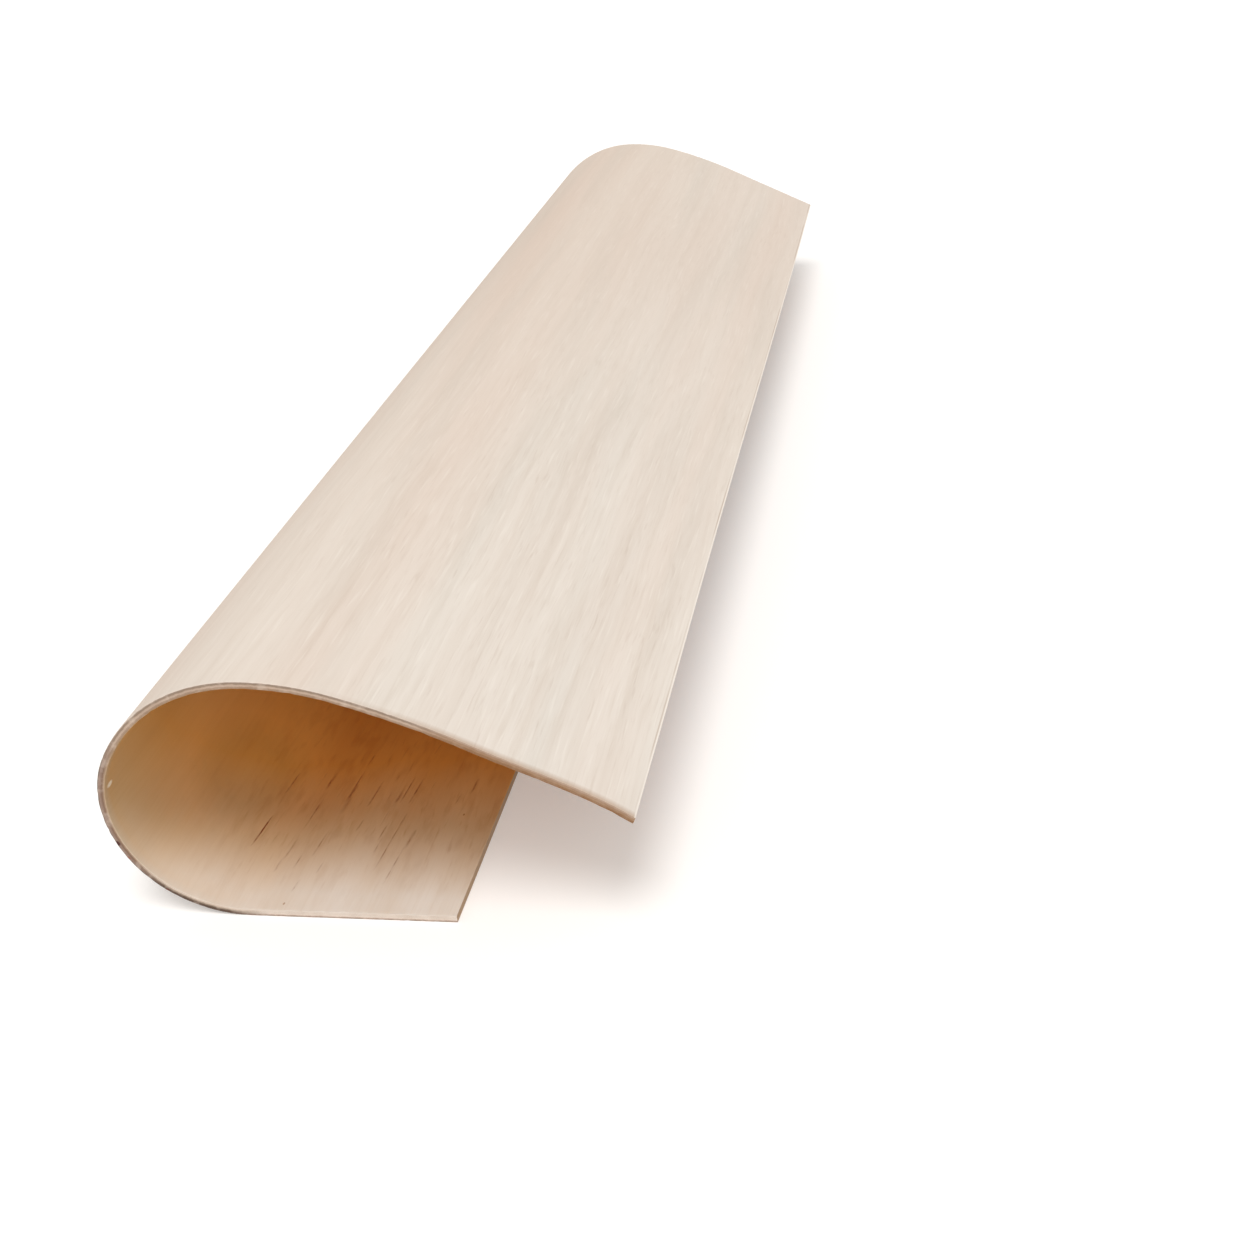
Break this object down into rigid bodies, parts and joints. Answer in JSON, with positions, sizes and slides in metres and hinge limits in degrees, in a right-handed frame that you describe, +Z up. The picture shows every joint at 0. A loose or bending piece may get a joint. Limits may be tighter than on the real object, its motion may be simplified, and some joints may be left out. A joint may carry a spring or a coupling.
{
  "type": "flexible plywood sheet",
  "caption": "Full sheet of thin bending plywood curled over across its width, lying on its lower run with its upper flap hovering free.",
  "frame": {"origin": "on the floor, under the middle of the curled sheet's overall box", "axes": "+Z up, +Y along the sheet's length and its face grain, +X from the closed side of the curl towards its open side"},
  "size_m": [0.6284, 2.44, 0.3176],
  "materials": {
    "outer_face_veneer": "bare sanded veneer, grain along the length",
    "core_veneer": "bare veneer, cut edge only",
    "inner_face_veneer": "bare sanded veneer with short open splits along the grain"
  },
  "bodies": {
    "root": {"outer_face_veneer": "outer_face_veneer", "core_veneer": "core_veneer", "inner_face_veneer": "inner_face_veneer"}
  },
  "joints": []
}
